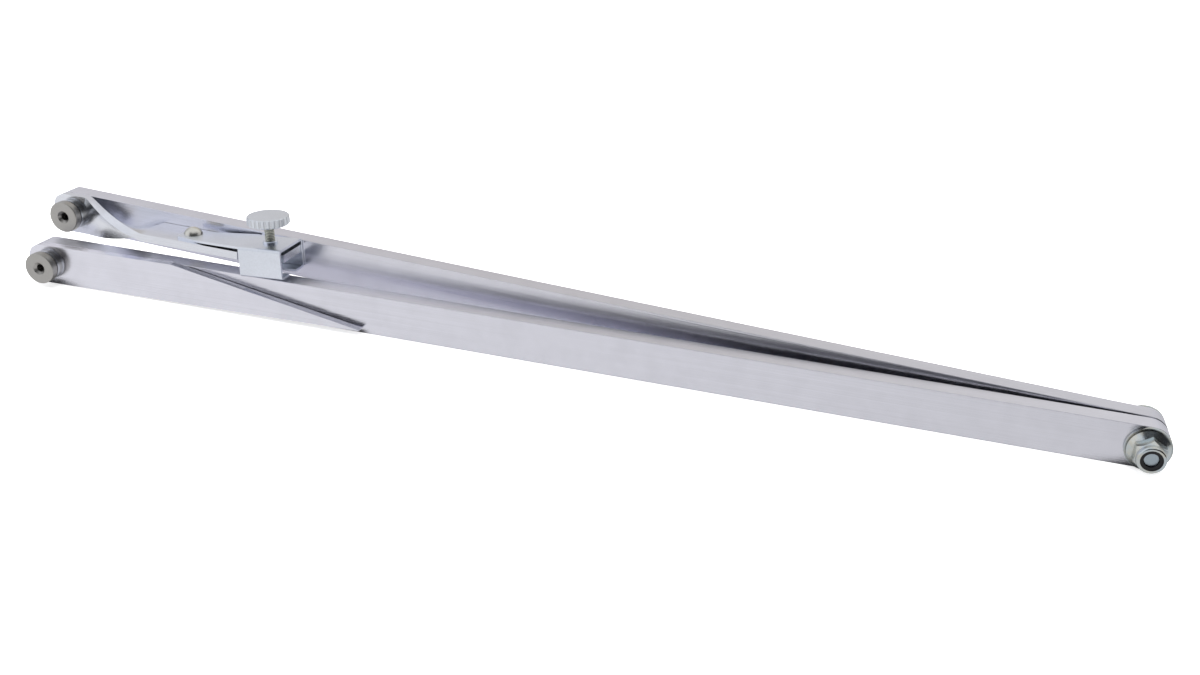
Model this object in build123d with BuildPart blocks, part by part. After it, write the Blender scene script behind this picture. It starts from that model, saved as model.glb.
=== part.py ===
"""Folding beam compass: two long flat arms hinged at one end, tip holders at the other.

Frame: +X runs from the tip holders to the hinge, +Y points away from the viewer, +Z is up.
The origin lies on the front tip holder's axis, in the front face of the front arm.
The arms stand on edge, nearly closed, with the clamp on the back stay resting on the front arm.
"""

import os
from math import asin, cos, degrees, radians, sin, tan

from build123d import *

# ---- Arms -------------------------------------------------------------------------------
arm_pitch = 669.0          # tip axis to hinge axis
bar_height = 25.0          # also the width of both stays
bar_thick = 12.0
edge_break = 0.25          # chamfer on the long edges of the bars
bend_distance = 18.0       # hinge axis to the bend in the back arm
tip_spread = 14.59         # how much the bend moves the back arm's free end sideways
end_reach = 13.0           # from the tip axis to the squared free end of arms and stays
end_corner = 8.5           # radius of the corners there

# ---- Tip holders, the same on both arms --------------------------------------------------
holder_radius = 10.0
holder_disc = 5.0          # thickness of the turned disc
groove_width = 1.0
groove_radius = 7.6
shoulder_radius = 6.0      # the stay turns on this shoulder
holder_thread_radius = 5.0
tip_bore_radius = 2.5
tip_bore_depth = 18.0
tip_mouth_radius = 4.1     # countersink at the mouth of the tip bore
mouth_angle = 90.0
holder_washer_radius = 9.5
holder_washer_thick = 1.5
stay_washer_radius = 9.3
stay_washer_thick = 1.6
spacer_radius = 8.0
stay_gap = 0.6             # thickness of the spacer between an arm and its stay
disc_break = 0.4

# ---- Fits ---------------------------------------------------------------------------------
running_gap = 0.06         # radial clearance where something turns
seat_gap = 0.04            # radial clearance where something is screwed or pressed in
washer_gap = 0.15          # radial clearance inside washers
face_clearance = 0.3       # back arm's face to the strip's edge and to the clamp

# ---- Stays --------------------------------------------------------------------------------
stay_thick = 5.0
front_stay_lift = 0.85     # degrees above the front arm at rest
taper_start = 88.8         # from the pivot, where the front stay's long taper begins
front_stay_length = 214.4  # from the pivot to its point
point_height = 0.6         # blunt end of the point
back_stay_droop = 0.9      # degrees below the level at rest, towards the clamp
flat_rise = 1.0            # flat stretch of the back stay above its pivot's level
twist_start = 9.6          # from the pivot
twist_end = 66.0
twist_ease = 0.06          # share of the twist at each end that starts and stops softly
twist_stations = 14
twist_dip = 1.0            # how far the strip sags half way through its twist
shoulder_gap = 2.5         # from the shoulder, where the strip narrows, to the housing
strip_recess = 0.5         # from the strip's end to the housing's far end
notch_gap = 0.2            # from the strip's far edge to the inside of the housing
near_notch = 2.5           # cut from the strip's near edge, seen just before the housing
clamp_tilt = 4.9           # degrees between the strip and both its end and the clamp

# ---- Clamp --------------------------------------------------------------------------------
sheet = 1.5
channel_gap = 0.1          # on each side of a strip or bar inside the housing
clamp_height = 18.9
clamp_length = 28.5
clamp_start = 134.2        # from the pivot to the housing
clamp_rest_gap = 0.15      # between the housing and the front arm that it stands on
clamp_corner = 2.0         # outer radius of the folded corners
front_lip = 9.5            # from the outside of the front wall
back_lip = 10.3
tongue_start = 87.2        # from the pivot to the tongue's free end
rivet_edge = 6.6           # from the tongue's free end to the rivet
rivet_to_bend = 6.2        # from the rivet to the bend where the tongue leaves the stay
tongue_end_width = 14.0    # at the free end
tongue_corner = 2.0
rivet_radius = 3.0
rivet_dome_radius = 5.8
rivet_dome_height = 4.3
rivet_foot_radius = 4.6
rivet_foot_height = 1.2

# ---- Thumb screw --------------------------------------------------------------------------
screw_offset = 0.5         # from the middle of the housing towards its far end
screw_radius = 2.95
screw_end_gap = 0.1        # between the screw's end and the strip that it presses
bush_radius = 4.5
bush_flange = 1.6          # height of the bush above the sheet
bush_foot = 0.7            # height of the flared foot below the sheet
bush_neck_radius = 4.0
head_clearance = 12.2      # from the sheet to the underside of the head
head_radius = 12.95
head_thick = 5.4
rib_count = 26
rib_groove_radius = 1.0
head_break = 0.6
head_socket_depth = 3.4    # how far the screw is pressed into the head

# ---- Hinge --------------------------------------------------------------------------------
hinge_gap = 1.5            # thickness of the spacer between the arms
hinge_spacer_radius = 11.0
bolt_radius = 4.0
bolt_end_radius = 3.7      # flat end of the bolt inside its chamfer
bolt_chamfer = 0.4
hinge_washer_radius = 12.4
front_washer_thick = 2.0
back_washer_thick = 2.5
nut_across_flats = 16.0
flange_radius = 11.4
flange_rim = 1.3
flange_rise = 2.4          # height at which the flange cone meets the hexagon
nut_height = 10.4          # washer to the top of the hexagon
nut_dome = 2.2             # height of the rounded shoulder on top of the hexagon
crown_radius = 7.7
crown_height = 3.4
crown_round = 1.2          # radius of the crown's rounded rim
insert_radius = 5.85
insert_height = 3.5
insert_recess = 0.5        # insert's face behind the crown's front
bolt_recess = 2.0          # bolt's end behind the crown's front
bolt_head_flats = 13.0
bolt_head_height = 5.3
bolt_head_chamfer = 1.0

# ---- Derived sizes and planes -------------------------------------------------------------
half_height = bar_height / 2
half_stay = stay_thick / 2
stack_height = (stay_gap + stay_thick + stay_washer_thick + holder_washer_thick
                + groove_width + holder_disc)
clamp_width = bar_height + 2 * (channel_gap + sheet)
strip_depth = face_clearance + half_height       # twisted strip's centre, out from the arm
clamp_depth = face_clearance + clamp_width / 2
end_notch = sheet + notch_gap                    # cut from the strip's far edge in the clamp
flat_top = flat_rise + half_stay
rivet_distance = tongue_start + rivet_edge
tongue_bend = rivet_distance + rivet_to_bend
housing_start = clamp_start - tongue_bend
screw_distance = clamp_length / 2 + screw_offset
shoulder_distance = clamp_start - shoulder_gap
back_stay_length = clamp_start + clamp_length - strip_recess
span_length = arm_pitch - bend_distance

# The clamp stands on the front arm, which sets how far the back arm is raised at rest.
droop = radians(back_stay_droop)
clamp_slope = radians(clamp_tilt) - droop
stud_rise = (
    half_height
    + clamp_rest_gap
    + (clamp_height - sheet) * cos(clamp_slope)
    - housing_start * sin(clamp_slope)
    + tongue_bend * sin(droop)
    - flat_top * cos(droop)
)
back_splay = degrees(asin(tip_spread / span_length))
back_raise = degrees(asin(stud_rise / (bend_distance + span_length * cos(radians(back_splay)))))
back_stay_lift = back_raise - back_stay_droop


def turned(plane, about_x=0, about_y=0, about_z=0):
    """The same plane turned about its own axes, in degrees."""
    return Plane(plane.location * Rotation(about_x, about_y, about_z))


# Each face plane has X along its arm, Y up and Z towards the viewer.
front_face = Plane(origin=(0, 0, 0), x_dir=(1, 0, 0), z_dir=(0, -1, 0))
hinge_face = Plane(origin=(arm_pitch, 0, 0), x_dir=(1, 0, 0), z_dir=(0, -1, 0))
back_pad = turned(hinge_face.offset(-bar_thick - hinge_gap), about_z=-back_raise)
back_bend = Plane(
    origin=back_pad.from_local_coords((-bend_distance, 0, 0)),
    x_dir=back_pad.x_dir,
    z_dir=back_pad.z_dir,
)
back_span = turned(back_bend, about_y=-back_splay)
back_face = Plane(
    origin=back_span.from_local_coords((-span_length, 0, 0)),
    x_dir=back_span.x_dir,
    z_dir=back_span.z_dir,
)
front_stay_face = turned(front_face, about_z=front_stay_lift)
back_stay_face = turned(back_face, about_z=back_stay_lift)
tongue_pad = Plane(            # underside of the tongue, flat on the stay
    origin=back_stay_face.from_local_coords((tongue_bend, flat_top, clamp_depth)),
    x_dir=back_stay_face.x_dir,
    z_dir=back_stay_face.z_dir,
)
clamp_face = turned(tongue_pad, about_z=clamp_tilt)
clamp_top = Plane(             # on the upper side of the sheet, Z up through the screw
    origin=clamp_face.from_local_coords((0, sheet, 0)),
    x_dir=clamp_face.x_dir,
    z_dir=clamp_face.y_dir,
)
screw_top = Plane(
    origin=clamp_top.from_local_coords((housing_start + screw_distance, 0, 0)),
    x_dir=clamp_top.x_dir,
    z_dir=clamp_top.z_dir,
)
hinge_axis = Axis((arm_pitch, 0, 0), (0, 1, 0))
hinge_section = Plane(origin=(arm_pitch, 0, 0), x_dir=(1, 0, 0), z_dir=(0, 0, 1))

parts = []


def keep(builder, name):
    """Label a finished piece and put it on the list that is written at the end."""
    builder.part.label = name
    parts.append(builder.part)


def squared_end(run):
    """Sketch a squared free end about its tip axis, with the bar's first stretch up to run."""
    with Locations(((run - end_reach) / 2, 0)):
        RectangleRounded(run + end_reach, bar_height, end_corner)
    with Locations((run / 2, 0)):
        Rectangle(run, bar_height)


# ---- Front arm: a straight bar, squared at its free end and round at the hinge -------------
with BuildPart() as front_arm:
    with BuildSketch(front_face):
        squared_end(arm_pitch)
        with Locations((arm_pitch, 0)):
            Circle(half_height)
        Circle(holder_thread_radius + seat_gap, mode=Mode.SUBTRACT)
        with Locations((arm_pitch, 0)):
            Circle(bolt_radius + running_gap, mode=Mode.SUBTRACT)
    extrude(amount=-bar_thick)
    rims = front_arm.faces().filter_by(Axis.Y).edges()
    chamfer(rims.filter_by(lambda e: not e.is_closed), edge_break)
keep(front_arm, "front_arm")

# ---- Back arm: the same bar, bent a little just past the hinge ----------------------------
bend_run = span_length * cos(radians(back_splay))
bend_rise = span_length * sin(radians(back_splay))
back_run = bar_thick * sin(radians(back_splay))
back_rise = bar_thick * cos(radians(back_splay))
with BuildPart() as back_arm:
    with BuildSketch(Plane(back_pad.origin, x_dir=back_pad.x_dir, z_dir=back_pad.y_dir)):
        with BuildLine():
            Polyline(
                (0, 0),
                (-bend_distance, 0),
                (-bend_distance - bend_run, bend_rise),
                (-bend_distance - bend_run + back_run, bend_rise + back_rise),
                (-bend_distance + bar_thick * tan(radians(back_splay / 2)), bar_thick),
                (0, bar_thick),
                close=True,
            )
        make_face()
    extrude(amount=half_height, both=True)
    with BuildSketch(back_pad):
        Circle(half_height)
    extrude(amount=-bar_thick)
    with BuildSketch(back_face):
        squared_end(end_reach)
    extrude(amount=-bar_thick)
    rims = back_arm.edges().filter_by(lambda e: e.length > bar_height + 1)
    chamfer(rims, edge_break)
    with Locations(back_pad):
        Hole(bolt_radius + running_gap, depth=bar_thick)
    with Locations(back_face):
        Hole(holder_thread_radius + seat_gap, depth=bar_thick)
keep(back_arm, "back_arm")

# ---- Front stay: a flat strip whose upper edge is cut to a long point ----------------------
with BuildPart() as front_stay:
    with BuildSketch(front_stay_face.offset(stay_gap)):
        squared_end(end_reach)
        with BuildLine():
            Polyline(
                (0, half_height),
                (taper_start, half_height),
                (front_stay_length, -half_height + point_height),
                (front_stay_length, -half_height),
                (0, -half_height),
                close=True,
            )
        make_face()
        Circle(shoulder_radius + running_gap, mode=Mode.SUBTRACT)
    extrude(amount=stay_thick)
keep(front_stay, "front_stay")

# ---- Back stay: the same strip with a quarter twist, notched where it enters the clamp -----
def eased(share):
    """An even twist that starts and stops softly, from 0 to 1."""
    if share <= 0.5:
        near = min(share, twist_ease)
        return near * near / (2 * twist_ease * (1 - twist_ease)) + (share - near) / (1 - twist_ease)
    return 1 - eased(1 - share)


with BuildPart() as back_stay:
    with BuildSketch(back_stay_face.offset(stay_gap)):
        squared_end(twist_start)
        Circle(shoulder_radius + running_gap, mode=Mode.SUBTRACT)
    extrude(amount=stay_thick)
    for station in range(twist_stations + 1):
        share = station / twist_stations
        twist = radians(90 * eased(share))
        centre = (
            twist_start + share * (twist_end - twist_start),
            flat_rise * eased(share) - twist_dip * sin(2 * twist),
            strip_depth * sin(twist) + (stay_gap + half_stay) * cos(twist),
        )
        across = back_stay_face.y_dir * cos(twist) + back_stay_face.z_dir * sin(twist)
        with BuildSketch(
            Plane(
                origin=back_stay_face.from_local_coords(centre),
                x_dir=across,
                z_dir=back_stay_face.x_dir,
            )
        ):
            Rectangle(bar_height, stay_thick)
    loft()
    with BuildSketch(back_stay_face.offset(face_clearance)):
        with Locations(((twist_end + shoulder_distance) / 2, flat_rise)):
            Rectangle(shoulder_distance - twist_end, stay_thick)
    extrude(amount=bar_height)
    end_rise = (back_stay_length - shoulder_distance) * tan(radians(clamp_tilt))
    flat_bottom = flat_top - stay_thick
    with BuildSketch(back_stay_face.offset(face_clearance + end_notch)):
        with BuildLine():
            Polyline(
                (shoulder_distance - half_stay, flat_top),
                (shoulder_distance, flat_top),
                (back_stay_length, flat_top + end_rise),
                (back_stay_length, flat_bottom + end_rise),
                (shoulder_distance, flat_bottom),
                (shoulder_distance - half_stay, flat_bottom),
                close=True,
            )
        make_face()
    extrude(amount=bar_height - end_notch - near_notch)
    rivet_spot = Plane(
        origin=back_stay_face.from_local_coords((rivet_distance, flat_top, strip_depth)),
        x_dir=back_stay_face.x_dir,
        z_dir=back_stay_face.y_dir,
    )
    with Locations(rivet_spot):
        Hole(rivet_radius + seat_gap, depth=stay_thick)
keep(back_stay, "back_stay")

# ---- Clamp housing: one folded sheet, with a tongue that is riveted to the back stay -------
housing_end_plane = Plane(
    origin=clamp_face.from_local_coords((housing_start, sheet, 0)),
    x_dir=clamp_face.z_dir,
    z_dir=clamp_face.x_dir,
)
bend_share = (tongue_bend - tongue_start) / (clamp_start - tongue_start)
tongue_root_width = clamp_width - clamp_corner
bend_width = tongue_end_width + bend_share * (tongue_root_width - tongue_end_width)
with BuildPart() as clamp_housing:
    with BuildSketch(housing_end_plane):
        with Locations((0, clamp_height / 2)):
            RectangleRounded(clamp_width, clamp_height, clamp_corner)
            RectangleRounded(
                clamp_width - 2 * sheet,
                clamp_height - 2 * sheet,
                clamp_corner - sheet,
                mode=Mode.SUBTRACT,
            )
        slot_width = clamp_width - front_lip - back_lip
        slot_centre = clamp_width / 2 - front_lip - slot_width / 2
        with Locations((slot_centre, clamp_height - sheet / 2)):
            Rectangle(slot_width, 2 * sheet, mode=Mode.SUBTRACT)
    extrude(amount=clamp_length)
    with BuildSketch(clamp_top):
        with BuildLine():
            Polyline(
                (0, bend_width / 2),
                (housing_start, tongue_root_width / 2),
                (housing_start, clamp_width / 2 - clamp_corner),
                (housing_start + sheet, clamp_width / 2 - clamp_corner),
                (housing_start + sheet, -clamp_width / 2 + clamp_corner),
                (housing_start, -clamp_width / 2 + clamp_corner),
                (housing_start, -tongue_root_width / 2),
                (0, -bend_width / 2),
                close=True,
            )
        make_face()
    extrude(amount=-sheet)
    pad_top = Plane(
        origin=back_stay_face.from_local_coords((tongue_bend, flat_top + sheet, clamp_depth)),
        x_dir=back_stay_face.x_dir,
        z_dir=back_stay_face.y_dir,
    )
    pad_length = tongue_bend - tongue_start
    with BuildSketch(pad_top) as pad_outline:
        with BuildLine():
            Polyline(
                (0, bend_width / 2),
                (0, -bend_width / 2),
                (-pad_length, -tongue_end_width / 2),
                (-pad_length, tongue_end_width / 2),
                close=True,
            )
        make_face()
        free_corners = pad_outline.vertices().group_by(Axis.X)[0]
        fillet(free_corners, tongue_corner)
    extrude(amount=-sheet)
    with Locations(rivet_spot.offset(sheet)):
        Hole(rivet_radius + seat_gap, depth=2 * sheet)
    with Locations(screw_top):
        Hole(bush_neck_radius + seat_gap, depth=2 * sheet)
keep(clamp_housing, "clamp_housing")

# ---- Clamp rivet: domed head above the tongue, flat foot under the stay --------------------
rivet_grip = sheet + stay_thick
foot_bottom = -rivet_grip - rivet_foot_height
foot_break = rivet_foot_height / 3
rivet_top = rivet_spot.offset(sheet)
rivet_section = Plane(rivet_top.origin, x_dir=rivet_top.x_dir, z_dir=-rivet_top.y_dir)
with BuildPart() as clamp_rivet:
    with BuildSketch(rivet_section):
        with BuildLine():
            TangentArc(
                (0, rivet_dome_height), (rivet_dome_radius, 0), tangent=(1, 0)
            )
            Polyline(
                (0, rivet_dome_height),
                (0, foot_bottom),
                (rivet_foot_radius - foot_break, foot_bottom),
                (rivet_foot_radius, foot_bottom + foot_break),
                (rivet_foot_radius, -rivet_grip),
                (rivet_radius, -rivet_grip),
                (rivet_radius, 0),
                (rivet_dome_radius, 0),
            )
        make_face()
    revolve(axis=Axis(rivet_top.origin, rivet_top.z_dir))
keep(clamp_rivet, "clamp_rivet")

# ---- Clamp bush: a threaded collar pressed into the sheet ----------------------------------
with BuildPart() as clamp_bush:
    with BuildSketch(screw_top):
        Circle(bush_radius)
    extrude(amount=bush_flange)
    chamfer(clamp_bush.faces().sort_by(Axis.Z)[-1].edges(), bush_flange / 4)
    with BuildSketch(screw_top):
        Circle(bush_neck_radius)
    extrude(amount=-sheet)
    with BuildSketch(screw_top.offset(-sheet)):
        Circle(bush_radius)
    extrude(amount=-bush_foot)
    with Locations(screw_top.offset(bush_flange)):
        Hole(screw_radius + running_gap, depth=bush_flange + sheet + bush_foot)
keep(clamp_bush, "clamp_bush")

# ---- Thumb screw: a ribbed head on a threaded shank ----------------------------------------
# The strip's end lies parallel to the sheet, so the screw meets it squarely.
strip_below_top = sheet + (shoulder_distance - tongue_bend) * sin(radians(clamp_tilt))
screw_reach = strip_below_top - screw_end_gap
with BuildPart() as thumb_screw_shank:
    with BuildSketch(screw_top.offset(-screw_reach)):
        Circle(screw_radius)
    extrude(amount=screw_reach + head_clearance + head_socket_depth)
    chamfer(thumb_screw_shank.faces().sort_by(Axis.Z)[0].edges(), screw_radius / 5)
keep(thumb_screw_shank, "thumb_screw_shank")

head_bottom = screw_top.offset(head_clearance)
with BuildPart() as thumb_screw_head:
    with BuildSketch(head_bottom):
        Circle(head_radius)
    extrude(amount=head_thick)
    rims = thumb_screw_head.edges().filter_by(GeomType.CIRCLE)
    chamfer(rims, head_break)
    with BuildSketch(head_bottom):
        with PolarLocations(head_radius + rib_groove_radius / 2, rib_count):
            Circle(rib_groove_radius)
    extrude(amount=head_thick, mode=Mode.SUBTRACT)
    with Locations(head_bottom):
        with Locations(Location((0, 0, 0), (180, 0, 0))):
            Hole(screw_radius + seat_gap, depth=head_socket_depth)
keep(thumb_screw_head, "thumb_screw_head")

# ---- Tip hardware: spacer, stay washer, holder washer and turned holder on each arm --------
for side, face in (("front", front_face), ("back", back_face)):
    rings = (
        ("spacer", spacer_radius, 0, stay_gap),
        ("stay_washer", stay_washer_radius, stay_gap + stay_thick, stay_washer_thick),
        (
            "holder_washer",
            holder_washer_radius,
            stay_gap + stay_thick + stay_washer_thick,
            holder_washer_thick,
        ),
    )
    for name, radius, height, thick in rings:
        with BuildPart() as ring:
            with BuildSketch(face.offset(height)):
                Circle(radius)
                Circle(shoulder_radius + washer_gap, mode=Mode.SUBTRACT)
            extrude(amount=thick)
        keep(ring, f"{side}_{name}")

    shoulder_height = stack_height - holder_disc - groove_width
    with BuildPart() as tip_holder:
        with BuildSketch(face.offset(stack_height - holder_disc)):
            Circle(holder_radius)
        extrude(amount=holder_disc)
        chamfer(tip_holder.edges().filter_by(GeomType.CIRCLE), disc_break)
        with BuildSketch(face.offset(shoulder_height)):
            Circle(groove_radius)
        extrude(amount=groove_width)
        with BuildSketch(face):
            Circle(shoulder_radius)
        extrude(amount=shoulder_height)
        with BuildSketch(face.offset(-bar_thick)):
            Circle(holder_thread_radius)
        extrude(amount=bar_thick)
        with Locations(face.offset(stack_height)):
            CounterSinkHole(tip_bore_radius, tip_mouth_radius, tip_bore_depth, mouth_angle)
    keep(tip_holder, f"{side}_tip_holder")

# ---- Hinge: bolt, washers, spacer and a flanged nut with a locking insert ------------------
hinge_rings = (
    ("hinge_front_washer", hinge_washer_radius, 0, front_washer_thick),
    ("hinge_spacer", hinge_spacer_radius, -bar_thick - hinge_gap, hinge_gap),
    (
        "hinge_back_washer",
        hinge_washer_radius,
        -2 * bar_thick - hinge_gap - back_washer_thick,
        back_washer_thick,
    ),
)
for name, radius, height, thick in hinge_rings:
    with BuildPart() as ring:
        with BuildSketch(hinge_face.offset(height)):
            Circle(radius)
            Circle(bolt_radius + washer_gap, mode=Mode.SUBTRACT)
        extrude(amount=thick)
    keep(ring, name)

nut_seat = front_washer_thick
hex_top = nut_seat + nut_height
crown_top = hex_top + crown_height
with BuildPart() as hinge_nut:
    with BuildSketch(hinge_face.offset(nut_seat)):
        RegularPolygon(nut_across_flats / 2, 6, major_radius=False, rotation=30)
    extrude(amount=nut_height)
    with BuildSketch(hinge_section):
        with BuildLine():
            Polyline(
                (0, -nut_seat),
                (flange_radius, -nut_seat),
                (flange_radius, -hex_top + nut_dome),
                (0.5 * nut_across_flats * 1.15, -hex_top + nut_dome),
                (crown_radius, -hex_top),
                (0, -hex_top),
                close=True,
            )
        make_face()
    revolve(axis=hinge_axis, mode=Mode.INTERSECT)
    with BuildSketch(hinge_section):
        with BuildLine():
            Polyline(
                (0, -nut_seat),
                (flange_radius, -nut_seat),
                (flange_radius, -nut_seat - flange_rim),
                (nut_across_flats / 2, -nut_seat - flange_rim - flange_rise),
                (0, -nut_seat - flange_rim - flange_rise),
                close=True,
            )
        make_face()
    revolve(axis=hinge_axis)
    with BuildSketch(hinge_face.offset(hex_top)):
        Circle(crown_radius)
    extrude(amount=crown_height)
    fillet(hinge_nut.faces().sort_by(Axis.Y)[0].edges(), crown_round)
    with Locations(hinge_face.offset(crown_top)):
        Hole(bolt_radius + seat_gap, depth=crown_top)
        Hole(insert_radius + seat_gap, depth=insert_recess + insert_height)
keep(hinge_nut, "hinge_nut")

with BuildPart() as hinge_nut_insert:
    with BuildSketch(hinge_face.offset(crown_top - insert_recess - insert_height)):
        Circle(insert_radius)
        Circle(bolt_radius + seat_gap, mode=Mode.SUBTRACT)
    extrude(amount=insert_height)
keep(hinge_nut_insert, "hinge_nut_insert")

bolt_tip = crown_top - bolt_recess
bolt_seat = -2 * bar_thick - hinge_gap - back_washer_thick
with BuildPart() as hinge_bolt:
    with BuildSketch(hinge_face.offset(bolt_seat)):
        Circle(bolt_radius)
    extrude(amount=bolt_tip - bolt_seat)
    chamfer(
        hinge_bolt.faces().sort_by(Axis.Y)[0].edges(),
        bolt_chamfer,
        bolt_radius - bolt_end_radius,
    )
    with BuildSketch(hinge_face.offset(bolt_seat)):
        RegularPolygon(bolt_head_flats / 2, 6, major_radius=False)
    extrude(amount=-bolt_head_height)
    chamfer(hinge_bolt.faces().sort_by(Axis.Y)[-1].edges(), bolt_head_chamfer)
keep(hinge_bolt, "hinge_bolt")

os.makedirs("parts", exist_ok=True)
for piece in parts:
    export_step(piece, f"parts/{piece.label}.step")
    print(f"{piece.label}: {piece.volume:.0f} mm3")
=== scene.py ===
import math

import bpy
from mathutils import Matrix, Vector

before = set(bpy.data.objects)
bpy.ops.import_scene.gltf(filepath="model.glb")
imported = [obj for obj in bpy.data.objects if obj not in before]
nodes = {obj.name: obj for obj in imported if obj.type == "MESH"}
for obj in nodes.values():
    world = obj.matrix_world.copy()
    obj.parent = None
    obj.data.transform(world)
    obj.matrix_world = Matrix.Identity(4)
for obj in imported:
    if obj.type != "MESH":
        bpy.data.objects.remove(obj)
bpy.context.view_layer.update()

scene = bpy.context.scene
MM = 0.001
MIDDLE = 0.33                         # the middle of the part along X, in metres

# ---------------------------------------------------------------- camera
# The view that the photograph has, solved from the edges of the bars and the round rims.
VIEW_RIGHT = Vector((0.965225, 0.252452, 0.067888))
VIEW_UP = Vector((-0.161799, 0.372931, 0.913643))
VIEW_BACK = Vector((0.205334, -0.892855, 0.400808))
VIEW_POINT = Vector((515.35, -658.10, 306.15)) * MM
IMAGE_WIDTH, FOCAL_PIXELS, SENSOR = 1200, 1266.4, 36.0
NEAREST, FARTHEST = 0.02, 40

# ---------------------------------------------------------------- bench
WHITE = (1, 1, 1)
BENCH_SIZE, BENCH_HEIGHT = 12, -12.5 * MM
BENCH_PAINT = (0.92, 0.92, 0.92)
BENCH_GLOW = 0.65
# Painted light: the glow that the metal mirrors in place of the lit bench, brighter to the left
# and falling off to the right.
BENCH_MIRRORED_LIGHT = ((-0.6, (0.86, 0.86, 0.87)), (0.6, (0.58, 0.58, 0.58)))    # along X
# Painted shade in the bench that the metal mirrors, in the slot between the arms.
SLOT_SHADE_REACH = 60 * MM
SLOT_SHADE_SPAN = (0.36, 0.50)              # how much of the sky the bench sees, from closed to open
SLOT_LIGHT = 0.05                     # the light that is left where it is closed in

# ---------------------------------------------------------------- room
# Each edge is a span of X, Y or Z of the direction in which the metal looks.
BACKDROP = (                          # colour along X, cooler at both sides
    (-1.0, (0.40, 0.41, 0.43)), (-0.52, (0.66, 0.65, 0.66)), (-0.36, (0.52, 0.49, 0.47)),
    (-0.12, (0.50, 0.47, 0.43)), (0.16, (0.62, 0.61, 0.59)), (0.45, (0.64, 0.64, 0.64)),
    (1.0, (0.50, 0.50, 0.51)),
)
BACKDROP_EDGE = (-0.10, 0.35)         # along Y
SOFTBOX, SOFTBOX_EDGE = 1.3, (0.52, 0.70)    # the backdrop is brighter higher up
ROOM = (0.026, 0.027, 0.030)
WINDOW = (0.80, 0.81, 0.84)           # tall soft light in front and to the left
WINDOW_EDGE = (-0.33, -0.43)          # along X
OVERHEAD = (0.76, 0.77, 0.78)
OVERHEAD_EDGE = (0.74, 0.86)          # along Z

# ---------------------------------------------------------------- lamps
SKY_HEIGHT, SKY_ENERGY = 2, 2.7
SKY_SPREAD, SKY_TURN = 50, (-8, -6, 0)    # degrees
PANELS = (                            # name, place, aim, size and power
    ("panel_left", (-1.6, -0.5, 0.9), (0.1, 0, 0), 0.7, 10),
    ("panel_right", (2.2, -0.4, 1.0), (0.5, 0, 0), 0.6, 5),
)

# ---------------------------------------------------------------- metal
ROLLED = (3, 1800, 1800)              # grain drawn out along the bar
CONTRAST = 0.06                       # how far the grain darkens the metal
SMUDGE = 0.08                         # how far its roughness varies
# Each span is the part of a noise, or of the open space, that is stretched to its full effect.
GRAIN_SPAN, STAIN_SPAN, SMUDGE_SPAN = (0.25, 0.75), (0.42, 0.72), (0.3, 0.7)
STAIN_MOST, TINT_MOST = 0.5, 0.85     # a tint covers more than a plain stain
# Painted shade in crevices: how far a face looks for a closed-in space, and the span over which
# its colour darkens.
CREVICE_SHADE_REACH, CREVICE_SHADE_SPAN = 1.6 * MM, (0.45, 0.95)
EDGE_FACING = 0.7                     # faces that look up or down more than this are edges
LEAN_SPAN = (0.6, 0.8)                # how far a face looks up where the lean sets in
BACK_ARM_TURN = (0, 0.0384, -0.0224)  # radians: how the back arm rises and spreads
CLAMP_SLOPE = 0.0698                  # radians


def shader_tree(name):
    """An empty material and its node tree."""
    material = bpy.data.materials.new(name)
    material.use_nodes = True
    material.node_tree.nodes.clear()
    return material, material.node_tree


def node(tree, kind, inputs=None, **settings):
    """Add one shader node, set it up and wire or fill its inputs."""
    made = tree.nodes.new("ShaderNode" + kind)
    for key, value in settings.items():
        setattr(made, key, value)
    for name, value in (inputs or {}).items():
        socket = made.inputs[name]
        if isinstance(value, bpy.types.NodeSocket):
            tree.links.new(value, socket)
        else:
            socket.default_value = (*value, 1) if socket.type == "RGBA" else value
    return made


def maths(tree, operation, *values):
    """Work out one sum."""
    return node(tree, "Math", dict(enumerate(values)), operation=operation).outputs[0]


def remap(tree, value, start, end, low=0.0, high=1.0, kind="LINEAR"):
    """Stretch the span from start to end over low to high."""
    return node(tree, "MapRange", {"Value": value, "From Min": start, "From Max": end,
                                   "To Min": low, "To Max": high},
                interpolation_type=kind).outputs[0]


def fade(tree, value, span, high=1.0, low=0.0):
    """Stretch a span with soft ends."""
    return remap(tree, value, *span, low, high, "SMOOTHSTEP")


def blend(tree, factor, first, second):
    """Mix two colours."""
    return node(tree, "Mix", {"Factor": factor, "A": first, "B": second},
                data_type="RGBA").outputs[2]


def scaled(tree, colour, amount):
    """Make a colour brighter or darker."""
    return node(tree, "VectorMath", {0: colour, "Scale": amount}, operation="SCALE").outputs[0]


def noise(tree, place, scale, detail, roughness=0.5):
    """Cloudy noise, from 0 to 1."""
    return node(tree, "TexNoise", {"Vector": place, "Scale": scale, "Detail": detail,
                                   "Roughness": roughness}).outputs["Fac"]


def colours_along(tree, value, spots):
    """Colours that change along a value, from pairs of a spot and its colour."""
    first, last = spots[0][0], spots[-1][0]
    made = node(tree, "ValToRGB", {0: remap(tree, value, first, last)})
    elements = made.color_ramp.elements
    elements[0].color, elements[1].color = (*spots[0][1], 1), (*spots[-1][1], 1)
    for spot, colour in spots[1:-1]:
        elements.new((spot - first) / (last - first)).color = (*colour, 1)
    return made.outputs[0]


def openness(tree, reach, samples, span, low=0.0):
    """How open the space in front of a face is, from low to 1."""
    seen = node(tree, "AmbientOcclusion", {"Distance": reach}, samples=samples).outputs["AO"]
    return remap(tree, seen, *span, low)


def camera_switch(tree, others, camera):
    """One shader for what the camera sees and another for every other ray."""
    path = node(tree, "LightPath").outputs["Is Camera Ray"]
    return node(tree, "MixShader", {0: path, 1: others.outputs[0],
                                    2: camera.outputs[0]}).outputs[0]


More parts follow.
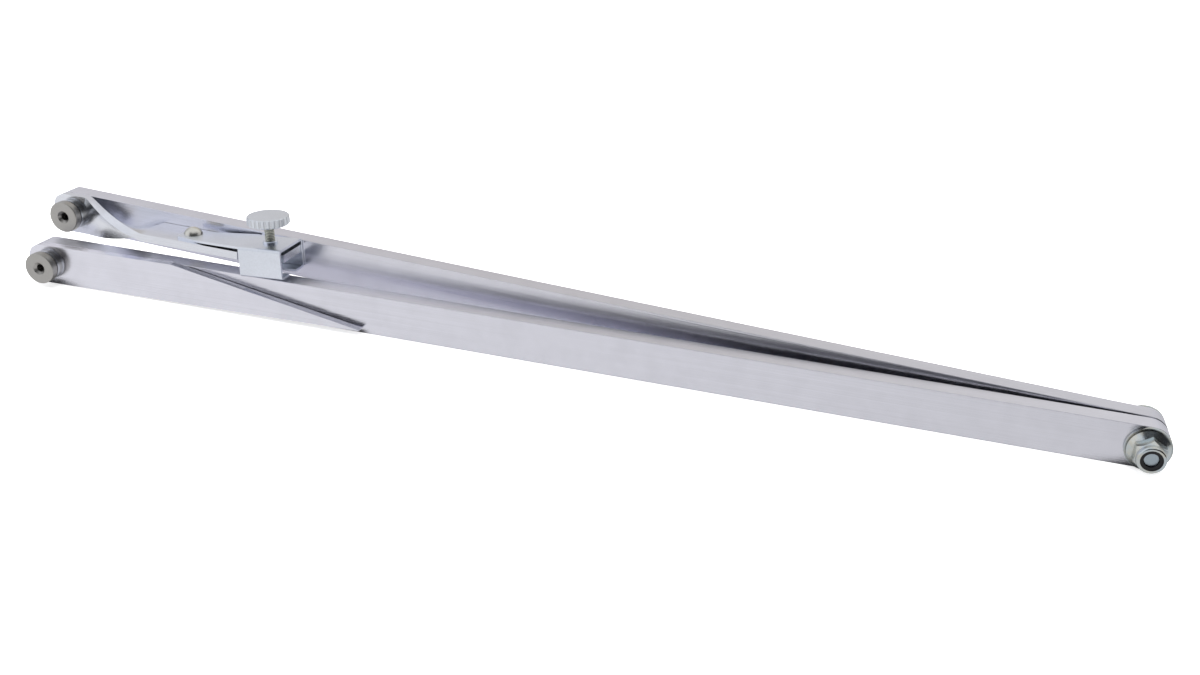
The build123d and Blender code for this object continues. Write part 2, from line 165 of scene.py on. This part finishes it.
def set_camera():
    """Stand the camera where the photograph was taken."""
    bpy.ops.object.select_all(action="DESELECT")
    bpy.ops.object.camera_add()
    camera = bpy.context.object
    camera.name = "photo_camera"
    turn = Matrix((VIEW_RIGHT, VIEW_UP, VIEW_BACK)).transposed().to_4x4()
    camera.matrix_world = Matrix.Translation(VIEW_POINT) @ turn
    camera.data.sensor_width = SENSOR
    camera.data.lens = FOCAL_PIXELS / IMAGE_WIDTH * SENSOR
    camera.data.clip_start, camera.data.clip_end = NEAREST, FARTHEST
    scene.camera = camera


def lay_bench():
    """A white bench: bright to the camera apart from its shadows. What the metal mirrors is a
    glow with painted light, paler to the left, and painted shade in the slot between the arms.
    """
    bpy.ops.object.select_all(action="DESELECT")
    bpy.ops.mesh.primitive_plane_add(size=BENCH_SIZE, location=(MIDDLE, 0, BENCH_HEIGHT))
    bench = bpy.context.object
    bench.name = "bench"
    paint, tree = shader_tree("white_bench")
    paint_seen = node(tree, "BsdfDiffuse", {"Color": BENCH_PAINT})
    glow = node(tree, "Emission", {"Color": WHITE, "Strength": BENCH_GLOW})
    bright = node(tree, "AddShader", {0: paint_seen.outputs[0], 1: glow.outputs[0]})
    # The metal mirrors the open bench as a glow with painted light, paler to the left, and
    # painted shade in the slot between the arms, where the glow dims as the space closes in.
    place = node(tree, "SeparateXYZ", {0: node(tree, "TexCoord").outputs["Object"]}).outputs
    mirrored = node(tree, "Emission", {
        "Color": colours_along(tree, place["X"], BENCH_MIRRORED_LIGHT),
        "Strength": openness(tree, SLOT_SHADE_REACH, 8, SLOT_SHADE_SPAN, SLOT_LIGHT)})
    node(tree, "OutputMaterial", {"Surface": camera_switch(tree, mirrored, bright)})
    bench.data.materials.append(paint)


def paint_room():
    """A pale backdrop behind, a dark room with one window in front, and soft light above."""
    world = bpy.data.worlds.new("studio")
    scene.world = world
    world.use_nodes = True
    tree = world.node_tree
    tree.nodes.clear()
    way = node(tree, "SeparateXYZ", {0: node(tree, "TexCoord").outputs["Generated"]}).outputs
    behind = scaled(tree, colours_along(tree, way["X"], BACKDROP),
                    fade(tree, way["Z"], SOFTBOX_EDGE, SOFTBOX, 1.0))
    front = blend(tree, fade(tree, way["X"], WINDOW_EDGE), ROOM, WINDOW)
    around = blend(tree, fade(tree, way["Y"], BACKDROP_EDGE), front, behind)
    room = blend(tree, fade(tree, way["Z"], OVERHEAD_EDGE), around, OVERHEAD)
    mirrored = node(tree, "Background", {"Color": room})
    backdrop = node(tree, "Background", {"Color": WHITE})
    node(tree, "OutputWorld", {"Surface": camera_switch(tree, mirrored, backdrop)})


def hang_lamps():
    """Soft light on the bench. The metal mirrors the painted room and none of the lamps."""
    bpy.ops.object.select_all(action="DESELECT")
    bpy.ops.object.light_add(type="SUN", location=(MIDDLE, 0, SKY_HEIGHT))
    sky = bpy.context.object
    sky.name = "light_above"
    sky.data.energy = SKY_ENERGY
    sky.data.angle = math.radians(SKY_SPREAD)
    sky.visible_glossy = False
    sky.rotation_euler = [math.radians(angle) for angle in SKY_TURN]
    for name, place, aim, size, power in PANELS:
        bpy.ops.object.select_all(action="DESELECT")
        bpy.ops.object.light_add(type="AREA", location=place)
        lamp = bpy.context.object
        lamp.name = name
        lamp.data.size = size
        lamp.data.energy = power
        lamp.visible_glossy = False
        lamp.rotation_euler = (Vector(aim) - Vector(place)).to_track_quat("-Z", "Y").to_euler()


def along_piece(tree, turn=(0, 0, 0)):
    """Object coordinates, turned to run along a piece."""
    place = node(tree, "TexCoord").outputs["Object"]
    return node(tree, "Mapping", {"Vector": place, "Rotation": turn},
                vector_type="TEXTURE").outputs[0]


def relief(tree, height, depth):
    """Bumps of a depth in millimetres."""
    return node(tree, "Bump", {"Height": height, "Distance": depth * MM}).outputs[0]


def surface(tree, colour, rough, normal, metallic=1.0):
    """Close a material with its shader."""
    shader = node(tree, "BsdfPrincipled", {"Base Color": colour, "Roughness": rough,
                                           "Metallic": metallic, "Normal": normal})
    node(tree, "OutputMaterial", {"Surface": shader.outputs[0]})


def even(fineness):
    """Grain of one size in every direction."""
    return fineness, fineness, fineness


def metal(name, colour, rough, grain=ROLLED, groove=0.06, turn=(0, 0, 0), tint=None,
          tint_scale=60, edge=None, crevice_shade=None):
    """Bright metal: grain lines, uneven polish, faint stains, a hint of a second tint and, where
    a crevice colour is given, painted shade in its crevices.

    An edge is the roughness of a bar's narrow faces, and how far the upper one leans forward.
    """
    material, tree = shader_tree(name)
    along = along_piece(tree, turn)
    fine = node(tree, "Mapping", {"Vector": along, "Scale": grain}).outputs[0]
    lines = noise(tree, fine, 1.0, 3.0, 0.62)
    cloud = noise(tree, along, tint_scale, 4.0, 0.6)
    wide = noise(tree, along, tint_scale / 7, 2.0)
    stain = remap(tree, cloud, *STAIN_SPAN, high=TINT_MOST if tint else STAIN_MOST)
    stained = blend(tree, stain, colour, tint or tuple(0.9 * part for part in colour))
    seen = scaled(tree, stained, remap(tree, lines, *GRAIN_SPAN, 1 - CONTRAST, 1 + CONTRAST / 2))
    # Painted shade: the colour darkens towards the crevice colour where the space in front of
    # the face is closed in.
    if crevice_shade:
        seen = blend(tree, openness(tree, CREVICE_SHADE_REACH, 6, CREVICE_SHADE_SPAN), crevice_shade, seen)
    polish = remap(tree, wide, *SMUDGE_SPAN, rough - SMUDGE / 2, rough + SMUDGE / 2)
    grooves = relief(tree, lines, groove)
    if edge:
        edge_rough, edge_lean = edge
        facing = node(tree, "TexCoord").outputs["Normal"]
        facing = node(tree, "SeparateXYZ", {0: facing}).outputs["Z"]
        on_edge = maths(tree, "GREATER_THAN", maths(tree, "ABSOLUTE", facing), EDGE_FACING)
        polish = node(tree, "Mix", {"Factor": on_edge, "A": polish, "B": edge_rough},
                      data_type="FLOAT").outputs[0]
        lean = node(tree, "CombineXYZ", {"Y": remap(tree, facing, *LEAN_SPAN, high=-edge_lean)})
        leant = node(tree, "VectorMath", {0: grooves, 1: lean.outputs[0]}).outputs[0]
        grooves = node(tree, "VectorMath", {0: leant}, operation="NORMALIZE").outputs[0]
    surface(tree, seen, polish, grooves)
    return material


def threaded(name, crest, root_shade, pitch, slope):
    """A cut thread: pale crests and dark roots of painted shade, one turn of the screw apart."""
    material, tree = shader_tree(name)
    along = along_piece(tree, (0, slope, 0))
    height = node(tree, "SeparateXYZ", {0: along}).outputs["Z"]
    wave = maths(tree, "SINE", maths(tree, "MULTIPLY", height, 2 * math.pi / (pitch * MM)))
    rise = remap(tree, wave, -1.0, 0.6)
    # Noise breaks up the crests with patches of the dark root colour.
    uneven_crests = maths(tree, "MULTIPLY", rise, noise(tree, along, 700, 3.0))
    surface(tree, blend(tree, remap(tree, uneven_crests, 0.0, 0.5), root_shade, crest), 0.36,
            relief(tree, rise, 0.3))
    return material


def plastic(name, colour, rough):
    """Moulded plastic with a fine uneven skin."""
    material, tree = shader_tree(name)
    skin = noise(tree, along_piece(tree), 1400, 2.0)
    paler = tuple(1.6 * part for part in colour)
    surface(tree, blend(tree, skin, colour, paler), rough, relief(tree, skin, 0.02), 0.0)
    return material


def finish(material, *names):
    """Give a material to the named pieces."""
    for name in names:
        nodes[name].data.materials.clear()
        nodes[name].data.materials.append(material)


set_camera()
lay_bench()
paint_room()
hang_lamps()

finish(metal("satin_arm_front", (0.86, 0.86, 0.94), 0.16, edge=(0.36, 0.16)), "front_arm")
finish(metal("satin_arm_back", (0.85, 0.85, 0.92), 0.20, turn=BACK_ARM_TURN,
             edge=(0.45, 0.10)), "back_arm")
finish(metal("cut_strip", (0.86, 0.86, 0.94), 0.18, edge=(0.12, 0.23)), "front_stay")
finish(metal("rolled_strip", (0.85, 0.87, 0.93), 0.20), "back_stay")
finish(metal("plated_sheet", (0.86, 0.90, 0.98), 0.28, even(900), 0.02),
       "clamp_housing", "clamp_bush")
finish(metal("plated_rivet", (0.78, 0.77, 0.72), 0.32, even(900), 0.02), "clamp_rivet")
# The crevice colour is painted shade in the ribs of the head.
finish(metal("plated_head", (0.85, 0.89, 0.95), 0.30, even(900), 0.03,
             crevice_shade=(0.30, 0.29, 0.26)), "thumb_screw_head")
# The dark root colour is painted shade in the grooves of the thread.
finish(threaded("cut_thread", (0.80, 0.80, 0.70), (0.20, 0.20, 0.16), 1.0, CLAMP_SLOPE),
       "thumb_screw_shank")
finish(metal("plated_washer", (0.74, 0.76, 0.78), 0.30, even(700)), "front_spacer",
       "back_spacer", "hinge_spacer", "front_holder_washer", "back_holder_washer")
finish(metal("oiled_washer", (0.52, 0.52, 0.51), 0.34, even(700)),
       "front_stay_washer", "back_stay_washer")
finish(metal("turned_steel", (0.50, 0.49, 0.47), 0.42, even(900), 0.05),
       "front_tip_holder", "back_tip_holder")
# The crevice colour is painted shade in the hollows of the washers and the nut.
finish(metal("hinge_plate", (0.64, 0.71, 0.75), 0.22, even(500), 0.02,
             tint=(0.76, 0.72, 0.60), tint_scale=160, crevice_shade=(0.25, 0.25, 0.24)),
       "hinge_front_washer", "hinge_back_washer", "hinge_nut")
finish(metal("bolt_end", (0.50, 0.58, 0.64), 0.34, even(1500), 0.03), "hinge_bolt")
finish(plastic("locking_ring", (0.004, 0.004, 0.006), 0.45), "hinge_nut_insert")

scene.view_settings.view_transform = "Standard"
